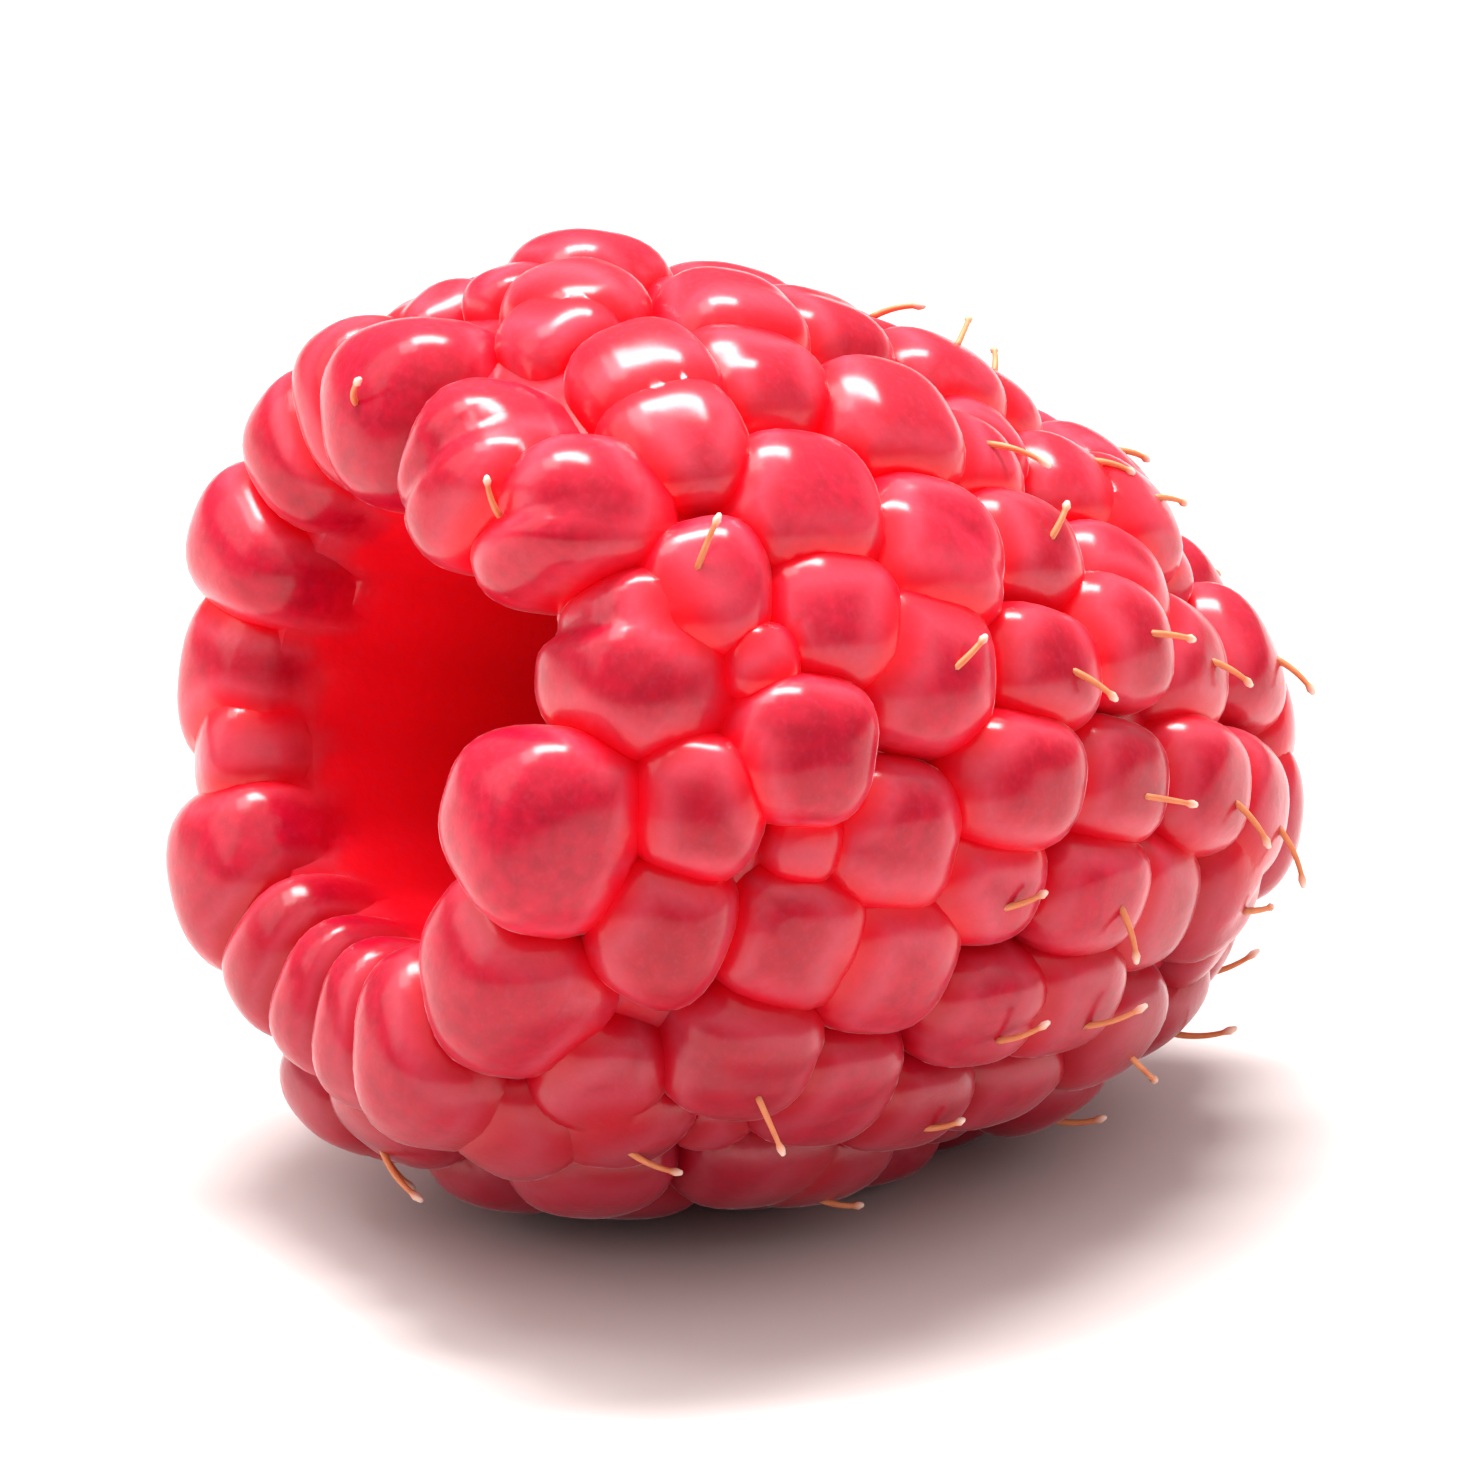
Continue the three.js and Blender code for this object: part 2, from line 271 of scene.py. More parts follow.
def drupelet_points(place, number):
    """Points of one drupelet: a superellipsoid on a grid of latitude and bearing, bent round the axis.

    Out, lengthwise and sidewise are the parts of the direction. Each is scaled by its half size, and the
    sidewise part is turned into an angle round the axis, so that the sides follow radial planes. A shallow
    fold runs over the top of some, and slow waves keep any two from being alike.
    """
    angle, radius, along, across, down, swell, half_length, half_width = place
    even = np.linspace(0, TOP_LATITUDE, DRUPELET_RINGS - len(ROOT_LATITUDES))
    latitude = np.concatenate([even, ROOT_LATITUDES]) * math.pi / 180
    bearing = np.arange(DRUPELET_SIDES) * 2 * math.pi / DRUPELET_SIDES
    theta, psi = np.meshgrid(latitude[1:-1], bearing, indexing="ij")
    theta = np.concatenate([[0], theta.ravel(), [math.pi]])
    psi = np.concatenate([[0], psi.ravel(), [0]])
    out, lengthwise, sidewise = np.cos(theta), np.sin(theta) * np.cos(psi), np.sin(theta) * np.sin(psi)
    powers = abs(out) ** PLUMPNESS + abs(lengthwise) ** PLUMPNESS + abs(sidewise) ** PLUMPNESS
    norm = powers ** (-1 / PLUMPNESS)
    phase = math.pi * draw(number, 8.3)
    waves = sum(h * np.sin(n * psi + turns * phase) * np.sin(theta) ** n for n, h, turns in WAVE_HEIGHTS)
    shallow = 0 if number < len(RIM_UNEVEN) else SHALLOW_FOLD * max(0.0, draw(number, 9.7) - FOLDED_SHARE)
    depth, aside, slant = RIM_FOLDS.get(number, (shallow, 0.15 * draw(number, 7.1), 0.6 * draw(number, 7.7)))
    crossing = sidewise * math.cos(slant) + lengthwise * math.sin(slant) - aside
    dent = depth * np.exp(-((crossing / FOLD_HALF_WIDTH) ** 2)) * np.clip(out + 0.5, 0, 1) ** 0.5
    norm = norm * (1 + waves - dent)
    rise, run = swell * out * norm, half_length * lengthwise * norm
    r = radius + rise * across - run * down
    z = along + rise * down + run * across
    turn = angle + half_width * sidewise * norm / radius
    return np.stack([r * np.sin(turn), r * np.cos(turn), z], -1)


def tip_points():
    """Points of the drupelet at the tip: an ellipsoid of revolution about the fruit's axis."""
    theta, psi = np.meshgrid(
        np.linspace(0, math.pi, DRUPELET_RINGS)[1:-1],
        np.arange(DRUPELET_SIDES) * 2 * math.pi / DRUPELET_SIDES,
        indexing="ij",
    )
    theta = np.concatenate([[0], theta.ravel(), [math.pi]])
    psi = np.concatenate([[0], psi.ravel(), [0]])
    ring = TIP_WIDTH * np.sin(theta)
    return np.stack([ring * np.sin(psi), ring * np.cos(psi), TIP_ALONG - TIP_SWELL * (1 - np.cos(theta))], -1)


THIMBLE_STRAIGHTNESS, THIMBLE_ROUNDNESS = 2.2, 0.55
# where the flesh's outer side starts and ends along the axis
SHOULDER_ALONG, TAIL_ALONG = 4.8, 22.2
LIP_BACK = 4.2
# points along the profile: the hollow's wall, the lip, and the outer side
WALL_POINTS, LIP_POINTS, OUTER_POINTS = 34, 16, 36


def hollow_radius(along):
    """Radius of the hollow: a thimble that closes at HOLLOW_DEPTH by a power of the depth, and a flare at its
    mouth that grows as the square.
    """
    open_share = np.clip(1 - (along / HOLLOW_DEPTH) ** THIMBLE_STRAIGHTNESS, 0, 1)
    thimble = HOLLOW_RADIUS * open_share**THIMBLE_ROUNDNESS
    return thimble + MOUTH_FLARE * np.clip(1 - along / MOUTH_FLARE_DEPTH, 0, None) ** 2


def core_points(sides):
    """The thimble of flesh and its count of rings: a profile carried round the axis.

    The profile runs from the hollow's end along its wall to the mouth, over the lip and along the outer side
    to the tail. Its inner wall has a soft rib, a cosine wave round the axis, for each rim drupelet.
    """
    inside = HOLLOW_DEPTH - (HOLLOW_DEPTH - HOLLOW_FRONT) * np.linspace(0.002, 1, WALL_POINTS) ** 1.6
    lip = [(hollow_radius(HOLLOW_FRONT), HOLLOW_FRONT), *LIP, (envelope(LIP_BACK) - FLESH_DEPTH, LIP_BACK)]
    lip = np.array(lip)
    knot = np.linspace(0, len(lip) - 1, LIP_POINTS + 1)[1:]
    lip = np.stack([np.interp(knot, range(len(lip)), lip[:, k]) for k in (0, 1)], 1)
    outside = np.linspace(SHOULDER_ALONG, TAIL_ALONG, OUTER_POINTS)
    radius = np.concatenate([hollow_radius(inside), lip[:, 0], envelope(outside) - FLESH_DEPTH])
    along = np.concatenate([inside, lip[:, 1], outside])
    angle = np.arange(sides) * 2 * math.pi / sides
    wall = np.concatenate([1 - inside / HOLLOW_DEPTH, np.zeros(len(along) - len(inside))])
    rib = HOLLOW_RIB_HEIGHT * wall[:, None] * np.cos(HOLLOW_RIBS * (angle - math.radians(RIM_TURN)))[None]
    ring = radius[:, None] - rib
    level = np.broadcast_to(along[:, None], ring.shape)
    grid = np.stack([ring * np.sin(angle), ring * np.cos(angle), level], -1)
    ends = np.array([[0, 0, HOLLOW_DEPTH], [0, 0, FRUIT_LENGTH - FLESH_DEPTH]])
    return np.concatenate([ends[:1], grid.reshape(-1, 3), ends[1:]]), len(along) + 2


places = drupelet_places()
growing = bpy.data.collections.new("drupelets")
bodies = [drupelet_points(place, number) for number, place in enumerate(places)] + [tip_points()]
for points in bodies:
    growing.objects.link(new_mesh("drupelet", into_row(points), grid_faces(DRUPELET_RINGS, DRUPELET_SIDES)))
CORE_SIDES = 96
points, rings = core_points(CORE_SIDES)
fruit = new_mesh("raspberry", into_row(points), grid_faces(rings, CORE_SIDES))
bpy.context.scene.collection.objects.link(fruit)
grown = fruit.modifiers.new("grown together", "BOOLEAN")
grown.operation, grown.solver = "UNION", "MANIFOLD"
grown.operand_type, grown.collection = "COLLECTION", growing
joined = bpy.data.meshes.new_from_object(fruit.evaluated_get(bpy.context.evaluated_depsgraph_get()))
fruit.modifiers.clear()
fruit.data = joined
for body in list(growing.objects):
    bpy.data.objects.remove(body)
bpy.data.collections.remove(growing)


def vertices_of(mesh):
    """The mesh's vertices as an array, in metres."""
    co = np.zeros(len(mesh.vertices) * 3)
    mesh.vertices.foreach_get("co", co)
    return co.reshape(-1, 3)


def set_attribute(mesh, name, values):
    """One number for each vertex, for the material to read."""
    mesh.attributes.new(name, "FLOAT", "POINT").data.foreach_set("value", np.asarray(values, np.float32))


def keep_outer_skin(mesh):
    """Drops the small closed pockets that roots leave between them: all but the largest connected surface."""
    count = len(mesh.vertices)
    edges = np.zeros(len(mesh.edges) * 2, int)
    mesh.edges.foreach_get("vertices", edges)
    edges = edges.reshape(-1, 2)
    label = np.arange(count)
    while True:
        lowest = np.minimum(label[edges[:, 0]], label[edges[:, 1]])
        before = label.copy()
        np.minimum.at(label, edges[:, 0], lowest)
        np.minimum.at(label, edges[:, 1], lowest)
        label = label[label]
        if (label == before).all():
            break
    names, sizes = np.unique(label, return_counts=True)
    stray = np.flatnonzero(label != names[sizes.argmax()])
    shell = bmesh.new()
    shell.from_mesh(mesh)
    shell.verts.ensure_lookup_table()
    bmesh.ops.delete(shell, geom=[shell.verts[i] for i in stray], context="VERTS")
    shell.to_mesh(mesh)
    shell.free()


def along_fruit(points):
    """From the row's frame in metres to the fruit's own in millimetres: radius, angle, place on the axis."""
    x, forward, up = (points / MM - MIDDLE).T
    y = math.sin(LEAN) * forward + math.cos(LEAN) * up
    z = math.cos(LEAN) * forward - math.sin(LEAN) * up + FRUIT_LENGTH / 2
    return np.hypot(x, y), np.arctan2(-x, y), z


def reach(radius, angle, along):
    """How far out each point lies in each drupelet, as a share of the drupelet's own size: 1 on its skin."""
    at, r, z, across, down, swell, half_length, half_width = places.T[:, None, :]
    dr, dz = radius[:, None] - r, along[:, None] - z
    turn = (angle[:, None] - at + math.pi) % (2 * math.pi) - math.pi
    out = abs(dr * across + dz * down) / swell
    lengthwise = abs(dz * across - dr * down) / half_length
    sidewise = abs(turn * r) / half_width
    shares = (out**PLUMPNESS + lengthwise**PLUMPNESS + sidewise**PLUMPNESS) ** (1 / PLUMPNESS)
    tip = np.hypot(radius / TIP_WIDTH, (along - TIP_ALONG + TIP_SWELL) / TIP_SWELL)
    return np.concatenate([shares, tip[:, None]], 1)


keep_outer_skin(joined)
skin = vertices_of(joined)
skin[:, 2] = np.maximum(skin[:, 2], 0)  # flat where the soft fruit rests on the floor
joined.vertices.foreach_set("co", skin.ravel())
radius, angle, along = along_fruit(skin)
shares = reach(radius, angle, along)
nearest = shares.argmin(1)
ordered = np.sort(shares, 1)
own, neighbour = ordered[:, 0], ordered[:, 1]
# widths as shares of a drupelet's half size: how far its colour reaches past its skin, how fast the painted
# glow and shade of a crease fades up its side, and where the pale margin of painted sheen beside the crease
# lies
SKIN_REACH, SKIN_FADE, CREASE_FADE, MARGIN_AT, MARGIN_WIDTH = 1.06, 0.1, 0.34 / 1.8, 1.25, 0.13
flesh = np.clip((own - SKIN_REACH) / SKIN_FADE, 0, 1)
crease = np.exp(-np.clip(neighbour - 1.0, 0, None) / CREASE_FADE)
margin = np.exp(-(((neighbour - MARGIN_AT) / MARGIN_WIDTH) ** 2))
# millimetres: how far past its wall and its ends the hollow's colour reaches, and over what it fades in
WALL_REACH, WALL_FADE, END_REACH, MOUTH_SKIN, MOUTH_FADE = 0.5, 0.3, 0.3, 1.0, 2.5
wall = hollow_radius(np.clip(along, 0, HOLLOW_DEPTH)) + WALL_REACH
inside = np.clip((wall - radius) / WALL_FADE, 0, 1)
inside *= np.clip((along - MOUTH_SKIN) / MOUTH_FADE, 0, 1) * (along < HOLLOW_DEPTH + END_REACH)
CREASE_ANGLE = 38  # degrees between faces
set_attribute(joined, "groove", np.maximum(crease, flesh))
set_attribute(joined, "margin", margin * (1 - flesh))
set_attribute(joined, "hollow", inside)
set_attribute(joined, "tone", 0.5 + 0.5 * draw(nearest, 3.3))
set_attribute(joined, "depth", along / FRUIT_LENGTH)
joined.shade_smooth()
joined.set_sharp_from_angle(angle=math.radians(CREASE_ANGLE))


def linear(hex_colour):
    """An sRGB hex colour as linear red, green, blue and 1: a power curve that is straight near black."""
    shares = [int(hex_colour[i : i + 2], 16) / 255 for i in (1, 3, 5)]
    return [c / 12.92 if c <= 0.04045 else ((c + 0.055) / 1.055) ** 2.4 for c in shares] + [1.0]


def add(owner, kind, settings=None, inputs=None):
    """Adds a node: settings are its own options, inputs are values or sockets to link, by name or number."""
    made = owner.node_tree.nodes.new(kind)
    for name, value in (settings or {}).items():
        setattr(made, name, value)
    for key, value in (inputs or {}).items():
        if isinstance(value, bpy.types.NodeSocket):
            owner.node_tree.links.new(value, made.inputs[key])
        else:
            made.inputs[key].default_value = value
    return made


# millimetres: patches of the mottle, pale specks, and the grain that roughens the skin
MOTTLE_SIZE, SPECK_SIZE, GRAIN_SIZE, GRAIN_HEIGHT = 0.3846, 0.15385, 0.3333, 0.05
# painted shade: heights in metres between which the creases and the whole skin darken towards the underside
CREASES_DARKEN, SKIN_DARKENS = (0.004, 0.013), (0.001, 0.009)
# painted shade: shares of the fruit's length between which the hollow's wall darkens with depth
WALL_DARKENS = (0.16, 0.5)
# a mix node's sockets for two colours and for their mix
COLOURS = {"data_type": "RGBA"}
LOW, HIGH, MIXED = 6, 7, 2


# Ripe raspberry skin: a thin wet-looking film over translucent flesh. It scatters light far in red and hardly
# at all in green and blue, so creases and the hollow glow pure red, and that glow is painted into their
# colour too. The film gives the tops white highlights, and a short down pales the skin where it is seen at a
# slant.
def raspberry_skin():
    material = bpy.data.materials.new("ripe raspberry skin")
    material.use_nodes = True
    material.node_tree.nodes.clear()
    groove = add(material, "ShaderNodeAttribute", {"attribute_name": "groove"}).outputs["Fac"]
    margin = add(material, "ShaderNodeAttribute", {"attribute_name": "margin"}).outputs["Fac"]
    hollow = add(material, "ShaderNodeAttribute", {"attribute_name": "hollow"}).outputs["Fac"]
    depth = add(material, "ShaderNodeAttribute", {"attribute_name": "depth"}).outputs["Fac"]
    tone = add(material, "ShaderNodeAttribute", {"attribute_name": "tone"}).outputs["Fac"]
    place = add(material, "ShaderNodeTexCoord").outputs["Object"]
    height = add(material, "ShaderNodeSeparateXYZ", {}, {0: place}).outputs["Z"]

    # crimson tops, no two quite alike, with a soft dark mottle and fine pale specks
    crimsons = {"Factor": tone, LOW: linear("#b40826"), HIGH: linear("#ca0e34")}
    tops = add(material, "ShaderNodeMix", COLOURS, crimsons).outputs[MIXED]
    patches = {"Vector": place, "Scale": 1 / (MOTTLE_SIZE * MM), "Detail": 4.0}
    patch = add(material, "ShaderNodeTexNoise", {}, patches).outputs["Fac"]
    mottle_range = {"Value": patch, "From Min": 0.36, "From Max": 0.64, "To Max": 0.5}
    mottle = add(material, "ShaderNodeMapRange", {}, mottle_range).outputs["Result"]
    mottled = {"Factor": mottle, LOW: tops, HIGH: linear("#960420")}
    tops = add(material, "ShaderNodeMix", COLOURS, mottled).outputs[MIXED]
    dots = {"Vector": place, "Scale": 1 / (SPECK_SIZE * MM), "Detail": 1.0}
    dot = add(material, "ShaderNodeTexNoise", {}, dots).outputs["Fac"]
    speck_range = {"Value": dot, "From Min": 0.5, "From Max": 0.72, "To Max": 0.16}
    speck = add(material, "ShaderNodeMapRange", {}, speck_range).outputs["Result"]
    specked = {"Factor": speck, LOW: tops, HIGH: linear("#c83c5a")}
    tops = add(material, "ShaderNodeMix", COLOURS, specked).outputs[MIXED]

    # pale margins beside the creases, a painted sheen of the down, and creases painted bright above and deep
    # red below
    down = add(material, "ShaderNodeMath", {"operation": "MULTIPLY"}, {0: margin, 1: 0.34}).outputs[0]
    downy_painted_sheen = {"Factor": down, LOW: tops, HIGH: linear("#e06c84")}
    tops = add(material, "ShaderNodeMix", COLOURS, downy_painted_sheen).outputs[MIXED]
    # painted glow above, standing in for light shining through the flesh, and painted shade low down
    start, end = CREASES_DARKEN
    crease_shade_range = {"Value": height, "From Min": start, "From Max": end, "To Min": 0.75, "To Max": 0.0}
    low = add(material, "ShaderNodeMapRange", {}, crease_shade_range).outputs["Result"]
    painted_crease_reds = {"Factor": low, LOW: linear("#fa0c22"), HIGH: linear("#b00618")}
    painted_crease_glow_and_shade = add(material, "ShaderNodeMix", COLOURS, painted_crease_reds).outputs[MIXED]
    creased = {"Factor": groove, LOW: tops, HIGH: painted_crease_glow_and_shade}
    outer = add(material, "ShaderNodeMix", COLOURS, creased).outputs[MIXED]
    # painted shade: the whole skin darkens towards the underside
    start, end = SKIN_DARKENS
    shade_range = {"Value": height, "From Min": start, "From Max": end, "To Min": 0.6, "To Max": 0.0}
    shade = add(material, "ShaderNodeMapRange", {}, shade_range).outputs["Result"]
    shaded = {"Factor": shade, LOW: outer, HIGH: linear("#80041e")}
    outer = add(material, "ShaderNodeMix", COLOURS, shaded).outputs[MIXED]

    # the hollow's wall: bright red at the mouth, a painted glow of light through the flesh, darker with
    # depth, a painted shade, with paler specks
    start, end = WALL_DARKENS
    painted_wall_shade = add(material, "ShaderNodeMapRange", {}, {"Value": depth, "From Min": start, "From Max": end})
    wall_glow_and_shade_colours = {"Factor": painted_wall_shade.outputs["Result"], LOW: linear("#fc0e22"), HIGH: linear("#b40c1a")}
    wall = add(material, "ShaderNodeMix", COLOURS, wall_glow_and_shade_colours).outputs[MIXED]
    specked_wall = {"Factor": speck, LOW: wall, HIGH: linear("#e83048")}
    wall = add(material, "ShaderNodeMix", COLOURS, specked_wall).outputs[MIXED]
    both = {"Factor": hollow, LOW: outer, HIGH: wall}
    colour = add(material, "ShaderNodeMix", COLOURS, both).outputs[MIXED]

    grains = {"Vector": place, "Scale": 1 / (GRAIN_SIZE * MM), "Detail": 3.0}
    grain = add(material, "ShaderNodeTexNoise", {}, grains).outputs["Fac"]
    bumps = {"Strength": 0.5, "Distance": GRAIN_HEIGHT * MM, "Height": grain}
    bump = add(material, "ShaderNodeBump", {}, bumps).outputs["Normal"]
    rough_range = {"Value": hollow, "To Min": 0.4, "To Max": 0.6}
    rough = add(material, "ShaderNodeMapRange", {}, rough_range).outputs["Result"]
    skin = {
        "Base Color": colour,
        "Roughness": rough,
        "IOR": 1.12,
        "Specular Tint": linear("#ff909c"),
        "Normal": bump,
        "Subsurface Weight": 0.45,
        "Subsurface Radius": (1.0, 0.12, 0.1),
        "Subsurface Scale": 1.2 * MM,
        "Coat Weight": 0.75,
        "Coat Roughness": 0.2,
        "Coat IOR": 1.5,
        "Sheen Weight": 0.8,
        "Sheen Roughness": 0.13,
        "Sheen Tint": linear("#ffd5da"),
    }
    surface = add(material, "ShaderNodeBsdfPrincipled", {"subsurface_method": "RANDOM_WALK"}, skin)
    add(material, "ShaderNodeOutputMaterial", {}, {"Surface": surface.outputs[0]})
    return material


fruit.data.materials.clear()
fruit.data.materials.append(raspberry_skin())
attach(fruit, "root")
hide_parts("fruit")


# The styles. Each drupelet was a separate pistil of the flower, and many keep its dried style: an amber
# thread under two millimetres long with a paler knob, rooted in the drupelet's top and bent towards the tip.
STYLE_SIDES, STYLE_RINGS = 6, 10
STYLE_RADIUS = 0.08
STYLE_LENGTH, LENGTH_SPREAD = 1.35, 0.35
ROOT_SHARE = 0.12  # of the length, below the skin
FOOT_HEIGHT, FOOT_SPREAD = 0.95, 0.3  # share of the drupelet's swell, and millimetres to the side
# radians: turn to the side, slant from upright at the foot, and how much further it bends along its length
TURN_SPREAD, SLANT, SLANT_SPREAD, BEND = 1.4, 0.85, 0.12, 0.55
TAPER, END_TAPER, END_CAP = 0.3, 0.55, 0.6
KNOB_SWELL, KNOB_AT, KNOB_WIDTH = 0.1, 0.94, 0.07
# a drupelet keeps its style where its draw is under these: few at the rim, more on the shoulder and beyond
RIM_END, SHOULDER_END = 4, 6.5
RIM_KEEPS, SHOULDER_KEEPS, OTHERS_KEEP = -0.8, -0.1, 0.1
STYLE_ROOM = 0.25  # how far past the solid's box a style may reach
FLOOR_GAP = 0.15


def style_points(foot, onward, out, side, number):
    """Points of one style: rings round a bent centre line, swelling into a small knob at the far end.

    The line leaves the skin at a slant, in a direction near that of the fruit's tip, and bends down until it
    lies nearly along the drupelet. Each ring is a circle across the line, thinner further along, and a bell
    curve of the share of the length swells the knob.
    """
    length = STYLE_LENGTH + LENGTH_SPREAD * draw(number, 21.3)
    lie_along = TURN_SPREAD * draw(number, 23.9)
    t = np.linspace(-ROOT_SHARE, 1, STYLE_RINGS)
    lean = SLANT + SLANT_SPREAD * draw(number, 22.7) + BEND * t
    across = math.cos(lie_along) * onward + math.sin(lie_along) * side
    way = np.cos(lean)[:, None] * out + np.sin(lean)[:, None] * across
    line = foot + np.cumsum(way, 0) * length / STYLE_RINGS - way[:1] * ROOT_SHARE
    knob = KNOB_SWELL * np.exp(-(((t - KNOB_AT) / KNOB_WIDTH) ** 2))
    thick = STYLE_RADIUS * (1 - TAPER * np.clip(t, 0, 1)) + knob
    thick[-1] *= END_TAPER
    first = np.cross(way, np.cross(out, across))
    first /= np.linalg.norm(first, axis=1)[:, None]
    second = np.cross(way, first)
    psi = np.arange(STYLE_SIDES) * 2 * math.pi / STYLE_SIDES
    ring = np.cos(psi)[None, :, None] * first[:, None] + np.sin(psi)[None, :, None] * second[:, None]
    tube = line[:, None] + thick[:, None, None] * ring
    end = line[-1:] + way[-1:] * thick[-1] * END_CAP
    return np.concatenate([line[:1], tube.reshape(-1, 3), end]), t


def style_cloud():
    """All styles in one mesh: points in the fruit's frame, faces, and each point's share of the length."""
    points, faces, shares, count = [], [], [], 0
    low, high = np.array(cad_box) / MM
    low, high = low - STYLE_ROOM, high + STYLE_ROOM
    low[2] = FLOOR_GAP
    grown_styles = places[: -len(LATE)]
    for number, (angle, radius, along, across, down, swell, *_) in enumerate(grown_styles):
        keeps = RIM_KEEPS if along < RIM_END else (SHOULDER_KEEPS if along < SHOULDER_END else OTHERS_KEEP)
        if draw(number, 31.1) > keeps:
            continue
        axis, ray = np.array([0, 0, 1.0]), np.array([math.sin(angle), math.cos(angle), 0])
        side = np.array([math.cos(angle), -math.sin(angle), 0])
        out = across * ray + down * axis
        onward = across * axis - down * ray
        aside = FOOT_SPREAD * draw(number, 33.7)
        foot = radius * ray + along * axis + swell * FOOT_HEIGHT * out + aside * side
        tube, t = style_points(foot, onward, out, side, number)
        stands = into_row(tube) / MM
        if (stands < low).any() or (stands > high).any():
            continue
        points.append(tube)
        faces += [[count + v for v in face] for face in grid_faces(STYLE_RINGS + 2, STYLE_SIDES)]
        shares.append(np.concatenate([[0], np.repeat(t, STYLE_SIDES), [1]]))
        count += len(tube)
    return np.concatenate(points), faces, np.concatenate(shares)


STREAK_SIZE = 0.4  # millimetres


# Dried plant fibre: matt amber, a little translucent, streaked, and paling to a straw-pink knob at its end
def dried_style():
    material = bpy.data.materials.new("dried style fibre")
    material.use_nodes = True
    material.node_tree.nodes.clear()
    share = add(material, "ShaderNodeAttribute", {"attribute_name": "share"}).outputs["Fac"]
    near_end = add(material, "ShaderNodeMapRange", {}, {"Value": share, "From Min": 0.75, "From Max": 0.95})
    place = add(material, "ShaderNodeTexCoord").outputs["Object"]
    streaks = {"Vector": place, "Scale": 1 / (STREAK_SIZE * MM)}
    streak = add(material, "ShaderNodeTexNoise", {}, streaks).outputs["Fac"]
    ambers = {"Factor": streak, LOW: linear("#cc6a38"), HIGH: linear("#ee9c6a")}
    thread = add(material, "ShaderNodeMix", COLOURS, ambers).outputs[MIXED]
    paling = {"Factor": near_end.outputs["Result"], LOW: thread, HIGH: linear("#ffd9c8")}
    colour = add(material, "ShaderNodeMix", COLOURS, paling).outputs[MIXED]
    fibre = {
        "Base Color": colour,
        "Roughness": 0.5,
        "Subsurface Weight": 0.3,
        "Subsurface Radius": (1.0, 0.5, 0.25),
        "Subsurface Scale": 0.2 * MM,
    }
    surface = add(material, "ShaderNodeBsdfPrincipled", {}, fibre).outputs[0]
    add(material, "ShaderNodeOutputMaterial", {}, {"Surface": surface})
    return material


points, faces, shares = style_cloud()
styles = new_mesh("styles", into_row(points), faces)
bpy.context.scene.collection.objects.link(styles)
set_attribute(styles.data, "share", shares)
styles.data.shade_smooth()
styles.data.materials.append(dried_style())
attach(styles, "root")


# The floor is a plain sheet of pale paper, and the fruit lies on it by its own weight. Soft studio lamps and
# a pale ceiling light both, the brightest lamp from above and behind.
FLOOR_REACH = 2  # metres from the fruit to each edge


# Uncoated paper: matt, so it throws back no glare, and pale enough to look white where no shadow falls
def paper_sheet():
    material = bpy.data.materials.new("pale paper sheet")
    material.use_nodes = True
    sheet = material.node_tree.nodes["Principled BSDF"]
    sheet.inputs["Base Color"].default_value = linear("#dbd2cf")
    sheet.inputs["Roughness"].default_value = 0.7
    return material


floor_mesh = bpy.data.meshes.new("floor")
corners = [(FLOOR_REACH * x, FLOOR_REACH * y, 0) for x, y in ((-1, -1), (1, -1), (1, 1), (-1, 1))]
floor_mesh.from_pydata(corners, [], [(0, 1, 2, 3)])
floor = bpy.data.objects.new("floor", floor_mesh)
floor_mesh.materials.append(paper_sheet())
bpy.context.scene.collection.objects.link(floor)


def way_from(azimuth, elevation):
    """Unit direction from the fruit towards a camera or lamp: azimuth 0 is in front, 90 to the right."""
    a, e = math.radians(azimuth), math.radians(elevation)
    return Vector((math.sin(a) * math.cos(e), -math.cos(a) * math.cos(e), math.sin(e)))


LAMP_AIM = Vector((0, 0, 0.01))


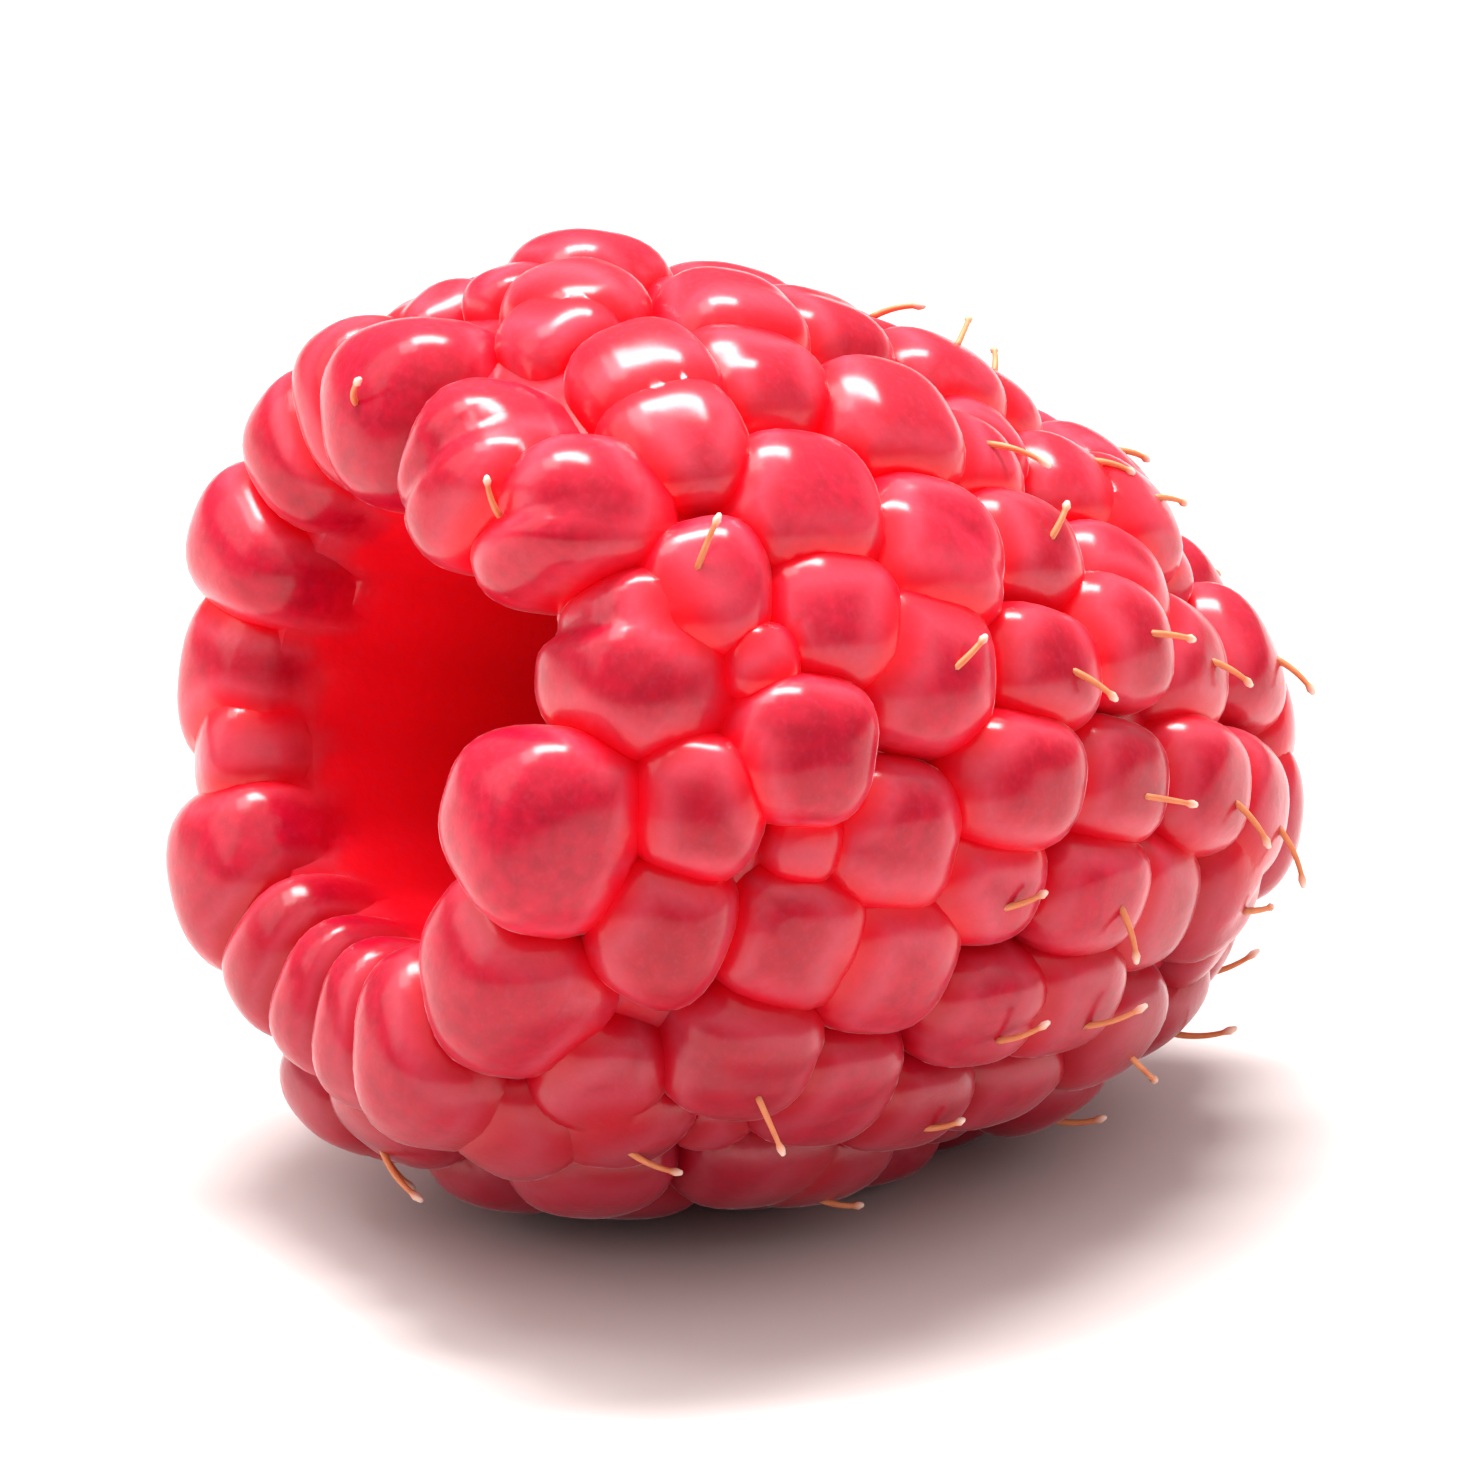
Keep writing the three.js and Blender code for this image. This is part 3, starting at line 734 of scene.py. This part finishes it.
def soft_lamp(name, azimuth, elevation, distance, wide, painted_wall_shade, watts):
    """A rectangular area lamp that faces the fruit, its wide side level. Degrees, metres and watts."""
    lamp = bpy.data.lights.new(name, "AREA")
    lamp.shape, lamp.size, lamp.size_y, lamp.energy = "RECTANGLE", wide, painted_wall_shade, watts
    placed = bpy.data.objects.new(name, lamp)
    way = way_from(azimuth, elevation)
    placed.location = LAMP_AIM + way * distance
    placed.rotation_euler = way.to_track_quat("Z", "Y").to_euler()
    bpy.context.scene.collection.objects.link(placed)


soft_lamp("overhead softbox", -118, 74, 0.5, 0.34, 0.13, 4.6)
soft_lamp("left softbox", -45, 62, 0.5, 0.2, 0.2, 0.8)
soft_lamp("front softbox", -35, 30, 0.6, 0.4, 0.4, 0.7)
# a pale ceiling that darkens towards the horizon, so that the light comes from above on all sides
world = bpy.data.worlds.new("studio ceiling")
bpy.context.scene.world = world
world.use_nodes = True
way_up = add(world, "ShaderNodeSeparateXYZ", {}, {0: add(world, "ShaderNodeTexCoord").outputs["Generated"]})
brightness = {"Value": way_up.outputs["Z"], "From Min": 0.15, "From Max": 1.0, "To Min": 0.25, "To Max": 1.3}
ceiling = add(world, "ShaderNodeMapRange", {}, brightness)
background = world.node_tree.nodes["Background"]
world.node_tree.links.new(ceiling.outputs["Result"], background.inputs["Strength"])
background.inputs["Color"].default_value = linear("#ffffff")
bpy.context.scene.view_settings.view_transform = "Standard"

# The camera stands at the photograph's viewing angle and distance, with a longer lens that frames this fruit:
# 300 of the photograph's pixels, at 9.303 pixels to the millimetre at the fruit's middle.
AZIMUTH, ELEVATION, DISTANCE = 58.0, 20.0, 450.0
PIXELS_PER_MM, FRAME_PIXELS, SENSOR = 9.303, 300.0, 36.0
FRAME_LEFT, FRAME_UP = 17.7, 4.5  # the frame's middle from the fruit's, in the photograph's pixels
view = bpy.data.cameras.new("photograph")
view.sensor_width = SENSOR
view.lens = DISTANCE * PIXELS_PER_MM / FRAME_PIXELS * SENSOR
camera = bpy.data.objects.new("photograph", view)
back = way_from(AZIMUTH, ELEVATION)
right = Vector((math.cos(math.radians(AZIMUTH)), math.sin(math.radians(AZIMUTH)), 0))
upright = back.cross(right)
target = Vector(MIDDLE) - right * (FRAME_LEFT / PIXELS_PER_MM) + upright * (FRAME_UP / PIXELS_PER_MM)
camera.location = (target + back * DISTANCE) * MM
camera.rotation_euler = back.to_track_quat("Z", "Y").to_euler()
bpy.context.scene.collection.objects.link(camera)
bpy.context.scene.camera = camera
